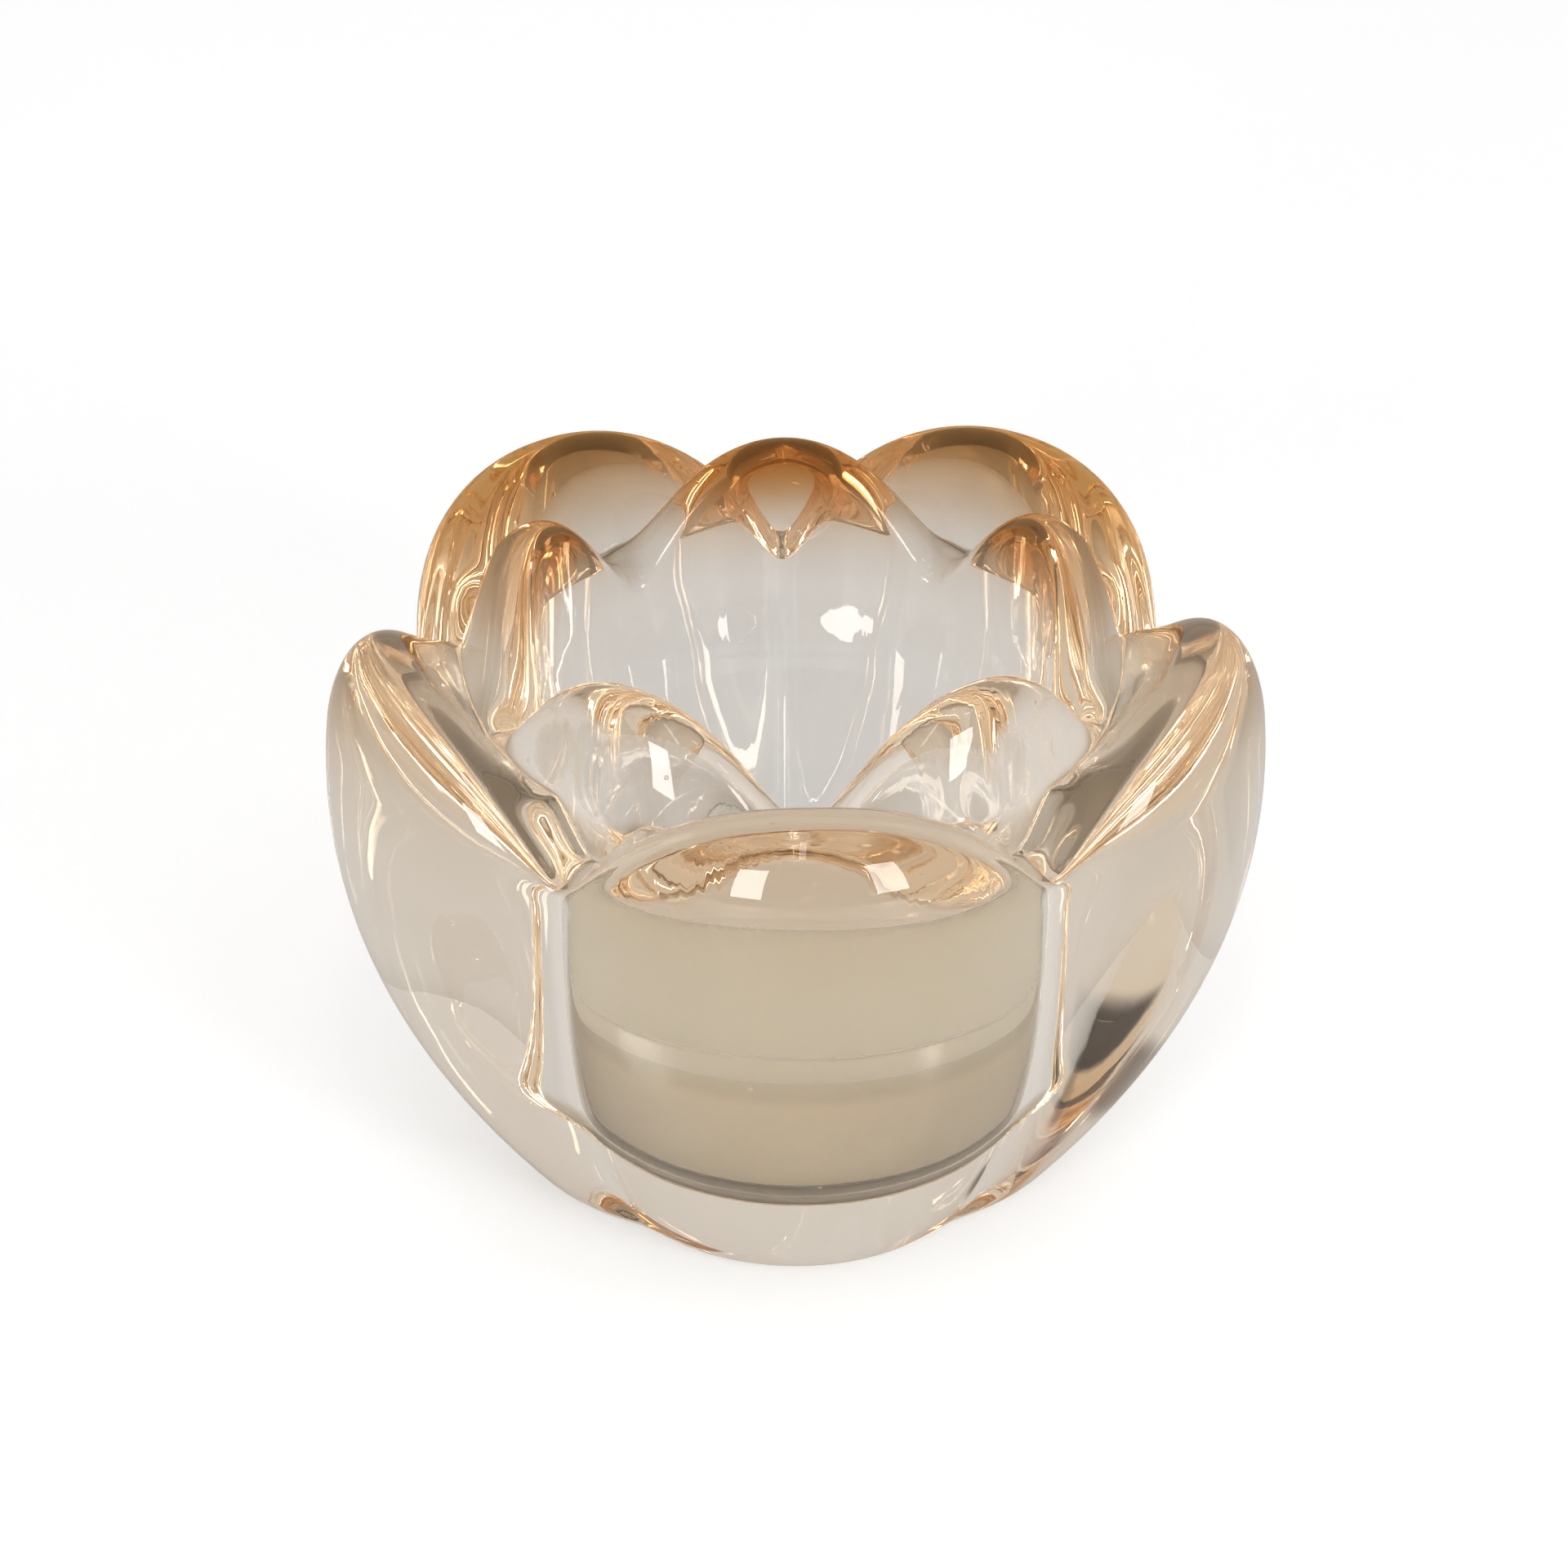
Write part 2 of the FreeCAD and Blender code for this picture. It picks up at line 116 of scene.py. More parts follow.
# ------------------------------------------------------------------ glass: rings and columns
FOOT_RINGS, WALL_RINGS, SHOULDER_RINGS, SLOPE_RINGS, CREASE_RINGS = 6, 44, 18, 18, 5
BACK_RINGS, LIP_RINGS, WELL_RINGS, CORNER_RINGS = 22, 16, 44, 12
COLUMNS = 30                    # in half a sector, closer together near its two ends
CROWDING = 0.7
CAP_SHARES = (0.8, 0.6, 0.4, 0.2)   # rings of a flat disc, as shares of its radius

# ------------------------------------------------------------------ tealight
BEAD_RADIUS = 0.325 * MM        # rounded lip of the cup
BEAD_DIP = 22.6                 # the lip's bead runs on this far below its middle
BEAD_OVERHANG = 0.025 * MM      # the bead stands this far outside the cup's wall
CUP_DRAFT = 0.5 * MM            # the cup is this much narrower at its foot
CUP_WALL = 0.6 * MM
CUP_FOOT_ROUND = 1.4 * MM
CUP_GAP = 0.00003               # the wax shrinks this far from the cup's wall
CUP_COLUMNS = 240
STRANDS = 3
STRAND_POINTS, STRAND_SIDES, STRAND_TURNS = 120, 10, 9
STRAND_RADIUS = 0.44            # shares of the wick's own radius
PLAIT_SWING, PLAIT_DEPTH = 0.48, 0.36
WICK_BOW = 1.6                  # how gently the free end starts to lean
WICK_INSET = 0.004              # the strands stop this share of the height short of each end
CUP_CAP_SHARES = (0.5,)         # rings of the cup's flat discs, as shares of their radius
TUBE_SIDE = Vector((0.3, 1, 0)) # a tube's seam lies square to this

# ------------------------------------------------------------------ glass: looks
GLASS_IOR = 1.52
GLASS_AMBER = (0.97, 0.80, 0.55)    # all through the glass
RIM_PAINTED_SHADE = (0.765, 0.52, 0.255)    # painted amber shade on the rims
TIP_PAINTED_SHADE = (0.73, 0.465, 0.23)     # extra painted amber shade on the inner petals' tips
FRONT_SHADE_SHARE = 0.18                 # share of the rims' painted shade that the petals in front have
PAINTED_SHADE_DEPTH = 3.5                  # surfaces along a ray that the painted shade still colours
GLASS_BOUNCES = 32
WHITE = (1.0, 1.0, 1.0)

# ------------------------------------------------------------------ colour mix node's sockets
MIX_FIRST, MIX_SECOND, MIX_RESULT = 6, 7, 2

# ------------------------------------------------------------------ studio and camera
AIM = Vector((0, 0, 60 * MM))       # the soft boxes face this point
FLOOR_HALF = 3.0
FLOOR_GAP = 0.0002                  # the sheet lies this far under the glass
CAMERA_TILT, CAMERA_TURN, CAMERA_ROLL = 34.7, 2.42, 0.35
CAMERA_REACH = 0.6957               # from the middle of the glass's underside
SENSOR_WIDTH, LENS_TO_SENSOR = 36.0, 3.502
CAMERA_SHIFT = (-0.0045, 0.2104)


# ------------------------------------------------------------------ glass: its section
def clamp(value, low, high):
    return max(low, min(high, value))


def arch(share, sides, top):
    """Height of a petal's rim, 1 at its tip (share 0) and 0 at its valley (share 1)."""
    return max(0.0, 1.0 - share ** sides) ** (1.0 / top)


def softened(share, notch_round):
    """Share of the half sector, eased so that a notch at share 1 comes out rounded."""
    return max(0.0, 1.0 - math.hypot(1.0 - share, notch_round))


def soft_arch(share, sides, top, notch_round):
    lowest = arch(1.0 - notch_round, sides, top)
    return (arch(softened(share, notch_round), sides, top) - lowest) / (1.0 - lowest)


def soft_least(*heights):
    """The least of the heights, with a rounded change-over from one to the next."""
    return -math.log(sum(math.exp(-CREASE_BLEND * height) for height in heights)) / CREASE_BLEND


def bezier(start, start_pull, end_pull, end, count):
    """Points of a cubic from start towards end, leaving out the end itself."""
    points = []
    for step in range(count):
        t = step / count
        weights = ((1 - t) ** 3, 3 * t * (1 - t) ** 2, 3 * t * t * (1 - t), t ** 3)
        corners = (start, start_pull, end_pull, end)
        points.append(tuple(sum(w * c[axis] for w, c in zip(weights, corners)) for axis in (0, 1)))
    return points


def along(point, direction, distance):
    length = math.hypot(*direction)
    return (point[0] + direction[0] / length * distance, point[1] + direction[1] / length * distance)


def gap(a, b):
    return math.hypot(a[0] - b[0], a[1] - b[1])


def rounded(start, start_way, end_way, end, pull, count):
    """A curve from start to end whose two handles reach the same share of the distance."""
    reach = gap(start, end) * pull
    return bezier(start, along(start, start_way, reach), along(end, end_way, reach), end, count)


def wall_radius(height, share):
    """Outer face: in plan each petal is one arc through its middle and the grooves beside it."""
    middle = BELLY_RADIUS - (BELLY_RADIUS - BASE_RADIUS) * (1.0 - height / BELLY_HEIGHT) ** 2
    below_belly = max(0.0, 1.0 - height / BELLY_HEIGHT)
    groove = GROOVE_TOP_RADIUS - (GROOVE_TOP_RADIUS - GROOVE_BASE_RADIUS) * below_belly ** GROOVE_POWER
    centre = (middle ** 2 - groove ** 2) / (2 * (middle - groove * math.cos(HALF_SECTOR)))
    angle = softened(share, OUTER_NOTCH_ROUND) * HALF_SECTOR
    arc_radius = middle - centre
    return centre * math.cos(angle) + math.sqrt(arc_radius ** 2 - (centre * math.sin(angle)) ** 2)


def wall_direction(height, share, sign=1):
    """Up the outer face, or down it with sign -1."""
    return (sign * (wall_radius(height + STEP, share) - wall_radius(height, share)), sign * STEP)


def well_radius(height):
    """The well: a cup for the tealight below, flaring into a wider mouth above."""
    down = clamp((FLARE_TOP_HEIGHT - height) / (FLARE_TOP_HEIGHT - FLARE_FOOT_HEIGHT), 0.0, 1.0)
    ease = down * down * (3 - 2 * down)
    draft = WELL_DRAFT * max(0.0, FLARE_TOP_HEIGHT - height)
    return MOUTH_RADIUS - (MOUTH_RADIUS - SEAT_RADIUS) * ease - draft


def well_direction(height, sign=1):
    """Down the well's wall, or up it with sign -1."""
    return (sign * (well_radius(height - STEP) - well_radius(height)), -sign * STEP)


def crease_point(share):
    """Bottom of the crease, nearly a ring, as it would run if no rim held it down."""
    travel = softened(share, CREASE_NOTCH_ROUND) ** 2
    return (CREASE_NOTCH_RADIUS + (CREASE_GROOVE_RADIUS - CREASE_NOTCH_RADIUS) * travel,
            CREASE_NOTCH_HEIGHT + CREASE_RISE * travel)


def upright(low, high, radius_at, count):
    """Points of a wall between two heights, leaving out the last."""
    heights = [low + (high - low) * step / count for step in range(count)]
    return [(radius_at(height), height) for height in heights]


def section(share):
    """Radial section of the glass, from the table edge over both petals to the well floor."""
    outer_rise = soft_arch(share, OUTER_ARCH_SIDES, OUTER_ARCH_TOP, OUTER_NOTCH_ROUND)
    inner_rise = soft_arch(1.0 - share, INNER_ARCH_SIDES, INNER_ARCH_TOP, INNER_NOTCH_ROUND)
    outer_swing = softened(share, OUTER_NOTCH_ROUND) ** 2
    inner_swing = softened(1.0 - share, INNER_NOTCH_ROUND) ** 2
    outer_end = OUTER_VALLEY_RADIUS + OUTER_VALLEY_BULGE
    outer_tip = (OUTER_TIP_RADIUS + (outer_end - OUTER_TIP_RADIUS) * outer_swing,
                 OUTER_VALLEY_HEIGHT + (OUTER_TIP_HEIGHT - OUTER_VALLEY_HEIGHT) * outer_rise)
    inner_tip = (INNER_TIP_RADIUS + (INNER_VALLEY_RADIUS - INNER_TIP_RADIUS) * inner_swing,
                 INNER_VALLEY_HEIGHT + (INNER_TIP_HEIGHT - INNER_VALLEY_HEIGHT) * inner_rise)
    crease = crease_point(share)
    below_outer = outer_tip[1] - CREASE_CLEARANCE + CREASE_SADDLE * share ** 4
    below_inner = inner_tip[1] - CREASE_CLEARANCE
    crease = (crease[0], soft_least(crease[1], below_outer, below_inner))

    # polished foot
    foot = (wall_radius(0.0, share) - FOOT_ROUND, 0.0)
    wall_foot = (wall_radius(FOOT_ROUND, share), FOOT_ROUND)
    points = rounded(foot, (1, 0), wall_direction(FOOT_ROUND, share, -1), wall_foot,
                     FOOT_PULL, FOOT_RINGS)

    # petal wall
    drop = SHOULDER_DROP_VALLEY + (SHOULDER_DROP - SHOULDER_DROP_VALLEY) * outer_rise
    wall_top = outer_tip[1] - drop
    points += upright(FOOT_ROUND, wall_top, lambda height: wall_radius(height, share), WALL_RINGS)

    # rounded shoulder up to the rim
    shoulder = (wall_radius(wall_top, share), wall_top)
    points += rounded(shoulder, wall_direction(wall_top, share), (1, 0), outer_tip,
                      SHOULDER_PULL, SHOULDER_RINGS)

    # inner face of the outer petal, down to the crease
    run = gap(outer_tip, crease)
    fall = tuple((crease[k] - outer_tip[k]) / run * FALL_SHARE + FALL_LEAN[k] for k in (0, 1))
    crease_in = along(crease, fall, -min(CREASE_SOFTNESS, CREASE_SOFT_SHARE * run))
    points += bezier(outer_tip, along(outer_tip, (-1, 0), run * SLOPE_PULL),
                     along(crease_in, fall, -run * SLOPE_PULL), crease_in, SLOPE_RINGS)

    # rounded bottom of the crease
    run = gap(inner_tip, crease)
    tipped = 1.0 - BACK_UPRIGHT * share ** 2
    climb = tuple((inner_tip[k] - crease[k]) / run * CLIMB_SHARE + CLIMB_LEAN[k] for k in (0, 1))
    climb = (climb[0] * tipped, climb[1])
    crease_out = along(crease, climb, min(CREASE_SOFTNESS, CREASE_SOFT_SHARE * run))
    points += bezier(crease_in, along(crease_in, fall, CREASE_SOFTNESS * CREASE_PULL),
                     along(crease_out, climb, -CREASE_SOFTNESS * CREASE_PULL), crease_out, CREASE_RINGS)

    # swelling outer face of the inner petal
    points += bezier(crease_out, along(crease_out, climb, run * BACK_PULL),
                     along(inner_tip, (1, 0), run * (TIP_PULL + BACK_FULLNESS * share)),
                     inner_tip, BACK_RINGS)

    # rounded lip
    lip_height = inner_tip[1] - LIP_DROP_VALLEY - (LIP_DROP - LIP_DROP_VALLEY) * inner_rise
    lip_end = (well_radius(lip_height), lip_height)
    points += rounded(inner_tip, (-1, 0), well_direction(lip_height, -1), lip_end, LIP_PULL, LIP_RINGS)

    # well wall, and the rounded corner into its flat floor
    corner_height = FLOOR_HEIGHT + FLOOR_ROUND
    points += upright(lip_height, corner_height, well_radius, WELL_RINGS)
    corner = (well_radius(corner_height), corner_height)
    floor_edge = (well_radius(FLOOR_HEIGHT) - FLOOR_ROUND, FLOOR_HEIGHT)
    points += rounded(corner, well_direction(corner_height), (1, 0), floor_edge,
                      CORNER_PULL, CORNER_RINGS)
    points.append(floor_edge)
    return points


# ------------------------------------------------------------------ meshes
def band(bm, ring, following, flip=False):
    """Faces from a ring to the next one, or to a single point."""
    for i in range(len(ring)):
        j = (i + 1) % len(ring)
        if len(following) == 1:
            corners = (ring[i], ring[j], following[0])
        else:
            corners = (ring[i], ring[j], following[j], following[i])
        bm.faces.new(tuple(reversed(corners)) if flip else corners)


def finished(bm, name):
    """The object made from a mesh; its faces are smooth, apart from a strand's many-sided ends."""
    mesh = bpy.data.meshes.new(name)
    bmesh.ops.recalc_face_normals(bm, faces=bm.faces)
    bm.to_mesh(mesh)
    bm.free()
    for face in mesh.polygons:
        face.use_smooth = len(face.vertices) <= 4
    obj = bpy.data.objects.new(name, mesh)
    bpy.context.scene.collection.objects.link(obj)
    return obj


def ring_mesh(name, rings, cap_shares):
    """Closed skin through rings of points, with a flat disc over the first ring and the last."""
    bm = bmesh.new()
    grid = [[bm.verts.new(point) for point in ring] for ring in rings]
    for ring, following in zip(grid, grid[1:]):
        band(bm, ring, following)
    for ring, flip in ((grid[0], True), (grid[-1], False)):
        edge = ring
        centre = sum((vertex.co for vertex in ring), Vector()) / len(ring)
        for share in cap_shares:
            smaller = [bm.verts.new(centre + (vertex.co - centre) * share) for vertex in ring]
            band(bm, edge, smaller, flip)
            edge = smaller
        band(bm, edge, [bm.verts.new(centre)], flip)
    return finished(bm, name)


def lathed(profile, angles):
    """Rings of points, one for each (radius, height) of the profile; the angles run from -Y."""
    return [[Vector((r * math.sin(a), -r * math.cos(a), z)) for a in angles] for r, z in profile]


def column_shares():
    """Shares of a half sector, crowded towards its two ends."""
    even = [i / COLUMNS for i in range(COLUMNS + 1)]
    return [share - CROWDING * math.sin(2 * math.pi * share) / (2 * math.pi) for share in even]


def build_glass():
    shares = column_shares()
    half = [section(share) for share in shares]
    columns = []
    for petal in range(PETALS):
        for i in range(COLUMNS):
            columns.append(((2 * petal + shares[i]) * HALF_SECTOR, half[i]))
        for i in range(COLUMNS, 0, -1):
            columns.append(((2 * (petal + 1) - shares[i]) * HALF_SECTOR, half[i]))
    rings = []
    for row in range(len(half[0])):
        ring = []
        for angle, points in columns:
            radius, height = points[row]
            ring.append(Vector((radius * math.sin(angle), -radius * math.cos(angle), height)) * MM)
        rings.append(ring)
    return ring_mesh("pressed_glass", rings, CAP_SHARES)


def arc(centre, wide, tall, start, end, steps):
    """Points of an elliptical arc between two angles, which count up from the outward side."""
    angles = [math.radians(start + (end - start) * i / steps) for i in range(steps + 1)]
    return [(centre[0] + wide * math.cos(a), centre[1] + tall * math.sin(a)) for a in angles]


def build_cup():
    """The tealight's cup: rounded foot, drafted wall, bead on the lip, flat floor."""
    foot_radius = cup_high.x - BEAD_OVERHANG - CUP_DRAFT
    inner_radius = foot_radius - CUP_WALL + CUP_GAP
    inner_round = CUP_FOOT_ROUND - CUP_WALL
    foot = (foot_radius - CUP_FOOT_ROUND, cup_low.z + CUP_FOOT_ROUND)
    bead = (cup_high.x - BEAD_RADIUS + CUP_GAP / 2, cup_high.z - BEAD_RADIUS)
    corner = (inner_radius - inner_round, cup_low.z + CUP_WALL + inner_round)
    profile = arc(foot, CUP_FOOT_ROUND, CUP_FOOT_ROUND, -90, 0, 8)
    profile += arc(bead, BEAD_RADIUS - CUP_GAP / 2, BEAD_RADIUS, -BEAD_DIP, 180 + BEAD_DIP, 16)
    profile += arc(corner, inner_round, inner_round, 0, -90, 8)
    angles = [2 * math.pi * k / CUP_COLUMNS for k in range(CUP_COLUMNS)]
    return ring_mesh("moulded_cup", lathed(profile, angles), CUP_CAP_SHARES)


def tube(bm, path, radius, sides):
    """Closed tube of even radius through the path's points."""
    angles = [2 * math.pi * k / sides for k in range(sides)]
    rings = []
    for i, centre in enumerate(path):
        ahead = (path[min(i + 1, len(path) - 1)] - path[max(i - 1, 0)]).normalized()
        side = ahead.cross(TUBE_SIDE).normalized()
        other = ahead.cross(side)
        spokes = [side * math.cos(a) + other * math.sin(a) for a in angles]
        rings.append([bm.verts.new(centre + spoke * radius) for spoke in spokes])
    for ring, following in zip(rings, rings[1:]):
        band(bm, ring, following)
    bm.faces.new(list(reversed(rings[0])))
    bm.faces.new(rings[-1])


def build_wick():
    """Plaited strands that follow the wick's upright foot and its leaning free end."""
    thick = (wick_high.x - wick_low.x) / 2
    lean = wick_high.y - thick
    tall = wick_high.z - wick_low.z
    free_from = (wax_top - wick_low.z) / tall
    bm = bmesh.new()
    for strand in range(STRANDS):
        path = []
        for i in range(STRAND_POINTS + 1):
            t = i / STRAND_POINTS
            free = clamp((t - free_from) / (1 - free_from), 0.0, 1.0)
            phase = 2 * math.pi * (t * STRAND_TURNS + strand / STRANDS)
            path.append(Vector((math.sin(phase) * thick * PLAIT_SWING,
                                lean * free ** WICK_BOW + math.sin(2 * phase) * thick * PLAIT_DEPTH,
                                wick_low.z + tall * (WICK_INSET + (1 - 2 * WICK_INSET) * t))))
        tube(bm, path, thick * STRAND_RADIUS, STRAND_SIDES)
    return finished(bm, "plaited_wick")


# ------------------------------------------------------------------ shader nodes
def make(tree, kind, **settings):
    """A new shader node, with its settings given by name."""
    node = tree.nodes.new("ShaderNode" + kind)
    for name, value in settings.items():
        setattr(node, name, value)
    return node


def feed(tree, socket, value):
    """Gives a socket a number, a vector, a colour or another node's output."""
    if isinstance(value, bpy.types.NodeSocket):
        tree.links.new(value, socket)
    elif socket.type == "RGBA":
        socket.default_value = (*value, 1)
    else:
        socket.default_value = value


def fed(tree, kind, inputs, **settings):
    """A new shader node with some of its inputs given by name."""
    node = make(tree, kind, **settings)
    for name, value in inputs.items():
        feed(tree, node.inputs[name], value)
    return node


def maths(tree, operation, *terms):
    """A math node whose terms are numbers or other nodes' outputs."""
    node = make(tree, "Math", operation=operation)
    for socket, term in zip(node.inputs, terms):
        feed(tree, socket, term)
    return node.outputs[0]


def ramp(tree, value, start, end, low=0.0, high=1.0, shape="SMOOTHSTEP"):
    """A value's step between start and end, taken from low to high."""
    inputs = {"Value": value, "From Min": start, "From Max": end, "To Min": low, "To Max": high}
    return fed(tree, "MapRange", inputs, interpolation_type=shape).outputs["Result"]


def spread(tree, grain, low, high):
    """A noise's 0 to 1 taken evenly from low to high."""
    return ramp(tree, grain, 0.0, 1.0, low, high, "LINEAR")


def blended(tree, share, first, second):
    """Mix of two colours, each of them given or another node's output."""
    mix = make(tree, "Mix", data_type="RGBA")
    feed(tree, mix.inputs["Factor"], share)
    feed(tree, mix.inputs[MIX_FIRST], first)
    feed(tree, mix.inputs[MIX_SECOND], second)
    return mix.outputs[MIX_RESULT]


def noise_at(tree, where, scale, detail):
    return fed(tree, "TexNoise", {"Vector": where, "Scale": scale, "Detail": detail}).outputs["Fac"]


def mottled(tree, scale, low, high, detail=3.0):
    """Two tones mixed by an object-space noise; returns the colour and the noise."""
    grain = noise_at(tree, make(tree, "TexCoord").outputs["Object"], scale, detail)
    return blended(tree, grain, low, high), grain


def bumped(tree, height, strength, distance):
    """The normal of a skin that stands up by distance where height is 1."""
    inputs = {"Height": height, "Strength": strength, "Distance": distance}
    return fed(tree, "Bump", inputs).outputs["Normal"]


def position(tree):
    return make(tree, "NewGeometry").outputs["Position"]


def parts_of(tree, vector):
    return fed(tree, "SeparateXYZ", {"Vector": vector}).outputs


def material(name, inputs_of):
    """A principled material; inputs_of(tree) gives its inputs by name."""
    mat = bpy.data.materials.new(name)
    mat.use_nodes = True
    tree = mat.node_tree
    for socket, value in inputs_of(tree).items():
        feed(tree, tree.nodes["Principled BSDF"].inputs[socket], value)
    return mat


# ------------------------------------------------------------------ glass
def glass_skin(tree, place, angle, height, radius):
    """Fire-polished skin: slow waves, fine ripple, draw marks down the well and a few pits."""
    sweep = fed(tree, "CombineXYZ", {"X": angle, "Y": height}).outputs[0]
    in_well = ramp(tree, radius, 34 * MM, 30 * MM)
    draws = maths(tree, "MULTIPLY", noise_at(tree, sweep, 16.0, 2.0), in_well)
    cells = fed(tree, "TexVoronoi", {"Vector": place, "Scale": 130.0}).outputs["Distance"]
    pits = ramp(tree, cells, 0.015, 0.045, -1.0, 0.0)
    skin = noise_at(tree, place, 70.0, 1.0)
    for layer, weight in ((noise_at(tree, place, 420.0, 2.0), 0.03), (draws, 0.35), (pits, 0.5)):
        skin = maths(tree, "MULTIPLY_ADD", layer, weight, skin)
    return skin


def glass_material():
    """Thick pressed glass: a faint amber all through it, and a painted amber shade towards the rims.

    The painted shade stands in for the deeper colour that long light paths in the glass and the
    shaded floor seen through it give. It is deeper on the petals behind the well, and it colours
    only the first few surfaces that a ray meets.
    """
    mat = bpy.data.materials.new("peach_amber_glass")
    mat.use_nodes = True
    tree = mat.node_tree
    tree.nodes.remove(tree.nodes["Principled BSDF"])
    place = position(tree)
    x, y, z = parts_of(tree, place)
    squares = maths(tree, "MULTIPLY_ADD", x, x, maths(tree, "MULTIPLY", y, y))
    radius = maths(tree, "SQRT", squares)
    behind = ramp(tree, y, -30 * MM, 25 * MM)
    early = maths(tree, "LESS_THAN", make(tree, "LightPath").outputs["Ray Depth"], PAINTED_SHADE_DEPTH)

    # painted amber shade near the rims and the inner petals' tips, weighted towards the petals behind
    # the well
    near_rim = maths(tree, "MULTIPLY", ramp(tree, z, 52 * MM, 74 * MM), early)
    rim_shade = maths(tree, "MULTIPLY", near_rim, ramp(tree, radius, 36 * MM, 50 * MM, 0.25, 1.0))
    shade_weight = maths(tree, "MULTIPLY_ADD", behind, 1.0 - FRONT_SHADE_SHARE, FRONT_SHADE_SHARE)
    near_tip = maths(tree, "MULTIPLY", ramp(tree, z, 66 * MM, 75 * MM), early)
    tips = maths(tree, "MULTIPLY", near_tip, behind)
    tip_shade = maths(tree, "MULTIPLY", tips, ramp(tree, radius, 44 * MM, 38 * MM))

    # the surface colour carries the rims' painted shade, with the tips' painted shade laid over it
    colour = blended(tree, maths(tree, "MULTIPLY", rim_shade, shade_weight), WHITE, RIM_PAINTED_SHADE)
    surface = fed(tree, "BsdfGlass", {
        "IOR": GLASS_IOR,
        "Color": blended(tree, tip_shade, colour, TIP_PAINTED_SHADE),
        "Roughness": maths(tree, "MULTIPLY", tips, 0.06),
        "Normal": bumped(tree, glass_skin(tree, place, maths(tree, "ARCTAN2", x, y), z, radius),
                         1.0, 0.00009),
    })
    depth = fed(tree, "VolumeAbsorption", {"Color": GLASS_AMBER, "Density": 7.5})
    ends = tree.nodes["Material Output"].inputs
    tree.links.new(surface.outputs[0], ends["Surface"])
    tree.links.new(depth.outputs[0], ends["Volume"])
    return mat


# ------------------------------------------------------------------ tealight
def cup_looks(tree):
    """Clear moulded polycarbonate, faintly hazy and a little warm."""
    colour, grain = mottled(tree, 900.0, (0.97, 0.94, 0.89), (1.0, 0.975, 0.94))
    return {"Base Color": colour, "Transmission Weight": 1.0, "IOR": 1.49,
            "Specular IOR Level": 0.2, "Roughness": spread(tree, grain, 0.10, 0.18),
            "Normal": bumped(tree, grain, 0.05, 0.0001)}


def wax_looks(tree):
    """Poured ivory wax: waxy sheen, soft mottling, and painted light that makes it paler below its top,
    against the shade on its sides.
    """
    colour, grain = mottled(tree, 140.0, (0.80, 0.70, 0.52), (0.86, 0.77, 0.60), 5.0)
    height = parts_of(tree, position(tree))["Z"]
    # painted light: the colour turns paler from about 1.2 mm to 3 mm below the wax's top
    painted_light_low = ramp(tree, height, wax_top - 0.0012, wax_top - 0.0030)
    return {"Base Color": blended(tree, painted_light_low, colour, (1.0, 0.87, 0.68)),
            "Subsurface Weight": 0.35, "Subsurface Radius": (0.006, 0.004, 0.0025),
            "Subsurface Scale": 0.5, "Roughness": spread(tree, grain, 0.32, 0.5),
            "Normal": bumped(tree, grain, 0.25, 0.0003)}


def steel_looks(tree):
    """Tinned steel stamping, with fine turned brushing round the disc."""
    rings = fed(tree, "TexWave", {"Vector": make(tree, "TexCoord").outputs["Object"],
                                  "Scale": 900.0, "Distortion": 3.0},
                wave_type="RINGS", rings_direction="Z").outputs["Fac"]
    colour = mottled(tree, 1600.0, (0.52, 0.52, 0.51), (0.68, 0.67, 0.65))[0]
    return {"Base Color": colour, "Metallic": 1.0, "Roughness": spread(tree, rings, 0.22, 0.42),
            "Normal": bumped(tree, rings, 0.1, 0.00005)}


def cotton_looks(tree):
    """Waxed cotton, cream below and browner towards the tip."""
    colour, grain = mottled(tree, 2500.0, (0.72, 0.66, 0.52), (0.88, 0.84, 0.74), 6.0)
    brown_from = wick_low.z + (wick_high.z - wick_low.z) * 0.7
    height = parts_of(tree, position(tree))["Z"]
    browned = ramp(tree, height, brown_from, wick_high.z, shape="LINEAR")
    return {"Base Color": blended(tree, browned, colour, (0.62, 0.52, 0.38)), "Roughness": 0.75,
            "Normal": bumped(tree, grain, 0.6, 0.0002)}


def stand_in(obj, mat, body, node):
    """Puts a drawn piece on its body, in the place of the frame's piece."""
    obj.data.materials.append(mat)
    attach(obj, body)
    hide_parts(node)


def dress(node, mat):
    """Gives a piece that keeps the frame's shape its material in every slot."""
    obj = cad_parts[node]
    if not obj.material_slots:
        obj.data.materials.append(mat)
    for slot in obj.material_slots:
        slot.link = "OBJECT"
        slot.material = mat


stand_in(build_glass(), glass_material(), "holder", "glass_body")
stand_in(build_wick(), material("waxed_cotton", cotton_looks), "tealight", "tealight_wick")
stand_in(build_cup(), material("clear_moulded_cup", cup_looks), "tealight", "tealight_cup")
dress("tealight_wax", material("ivory_wax", wax_looks))
dress("wick_sustainer", material("tinned_steel", steel_looks))


# ------------------------------------------------------------------ studio
def heading(turn, rise):
    """Unit vector: turn in degrees from +Y towards +X, rise in degrees above the table."""
    t, r = math.radians(turn), math.radians(rise)
    return Vector((math.sin(t) * math.cos(r), math.cos(t) * math.cos(r), math.sin(r)))


def softbox(name, turn, rise, reach, wide, tall, power):
    """Rectangular soft light that faces the glass from the given heading."""
    data = bpy.data.lights.new(name, "AREA")
    data.shape = "RECTANGLE"
    data.size = wide
    data.size_y = tall
    data.energy = power
    lamp = bpy.data.objects.new(name, data)
    lamp.location = AIM + heading(turn, rise) * reach
    lamp.rotation_euler = (-heading(turn, rise)).to_track_quat("-Z", "Y").to_euler()
    lamp.visible_camera = False
    bpy.context.scene.collection.objects.link(lamp)


